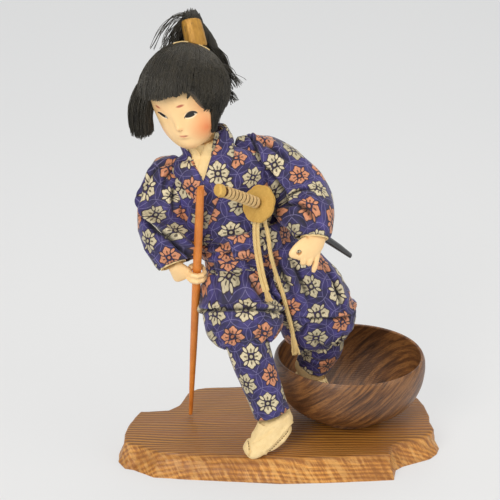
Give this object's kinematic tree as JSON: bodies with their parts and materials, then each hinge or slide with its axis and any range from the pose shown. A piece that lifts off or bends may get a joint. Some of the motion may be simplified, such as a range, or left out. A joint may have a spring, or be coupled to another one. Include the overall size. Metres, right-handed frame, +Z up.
{
  "type": "costume doll",
  "caption": "Cloth-dressed costume doll of a youth stepping out of a wooden bowl onto a board, with a long pole in one hand and a draw sword in the sash.",
  "frame": {"origin": "middle of the footprint, on the underside of the board", "axes": "+Z up, the figure faces -Y, its own right side and the pole at -X, the bowl at +X"},
  "size_m": [0.2604, 0.1596, 0.3562],
  "materials": {
    "board_wood": "satin varnish, open grain",
    "bowl_wood": "satin, dark turned wood",
    "pole_wood": "satin varnish",
    "steel": "plain wire and screw steel",
    "wadding": "soft cotton wadding",
    "painted_skin": "satin painted shell-white and flesh",
    "hair": "black silk hair, low sheen",
    "gold_paper": "creased gold paper",
    "brocade": "indigo brocade with woven flowers",
    "cream_cloth": "plain cream weave",
    "blade_metal": "polished flat",
    "sword_brass": "dull old brass",
    "hilt_cloth": "silk tape",
    "lacquer": "worn black lacquer",
    "cord": "twisted cotton cord"
  },
  "bodies": {
    "figure_on_board": {"board": "board_wood", "bowl": "bowl_wood", "bowl_screw": "steel", "arm_wire": "steel", "right_leg_wire": "steel", "left_leg_wire": "steel", "trunk_core": "wadding", "right_arm": "wadding", "left_arm": "wadding", "right_leg": "wadding", "left_leg": "wadding", "right_hand": "painted_skin", "left_hand": "painted_skin", "kimono_body": "brocade", "right_sleeve": "brocade", "left_sleeve": "brocade", "right_collar": "brocade", "left_collar": "brocade", "right_trouser_leg": "brocade", "left_trouser_leg": "brocade", "right_legging": "brocade", "left_legging": "brocade", "sash": "brocade", "sash_flap": "brocade", "under_robe": "cream_cloth", "right_cuff_lining": "cream_cloth", "left_cuff_lining": "cream_cloth", "right_sock": "cream_cloth", "left_sock": "cream_cloth", "scabbard": "lacquer", "cord_knot": "cord", "right_cord": "cord", "left_cord": "cord", "right_tassel": "cord", "left_tassel": "cord"},
    "head_and_hair": {"head": "painted_skin", "neck_pin": "pole_wood", "back_hair": "hair", "fringe": "hair", "right_side_lock": "hair", "left_side_lock": "hair", "topknot": "hair", "hair_tie": "gold_paper"},
    "sword": {"sword_blade": "blade_metal", "blade_collar": "sword_brass", "hilt": "hilt_cloth", "hilt_wrap": "hilt_cloth", "pommel_cap": "sword_brass", "guard": "sword_brass"},
    "pole": {"pole": "pole_wood"}
  },
  "joints": [
    {"name": "head_turn", "type": "hinge", "parent": "figure_on_board", "child": "head_and_hair", "pos_m": [-0.05427, -0.0078, 0.25584], "axis": [-0.3346, -0.1698, 0.9269], "range_deg": [-12, 12]},
    {"name": "sword_draw", "type": "hinge", "parent": "figure_on_board", "child": "sword", "pos_m": [0.04569, -0.44611, -0.27908], "axis": [0.8213, -0.389, 0.4172], "range_deg": [0, 10]},
    {"name": "pole_lift", "type": "slide", "parent": "figure_on_board", "child": "pole", "axis": [0.0554, -0.2696, 0.9614], "range_m": [0, 0.16]}
  ]
}
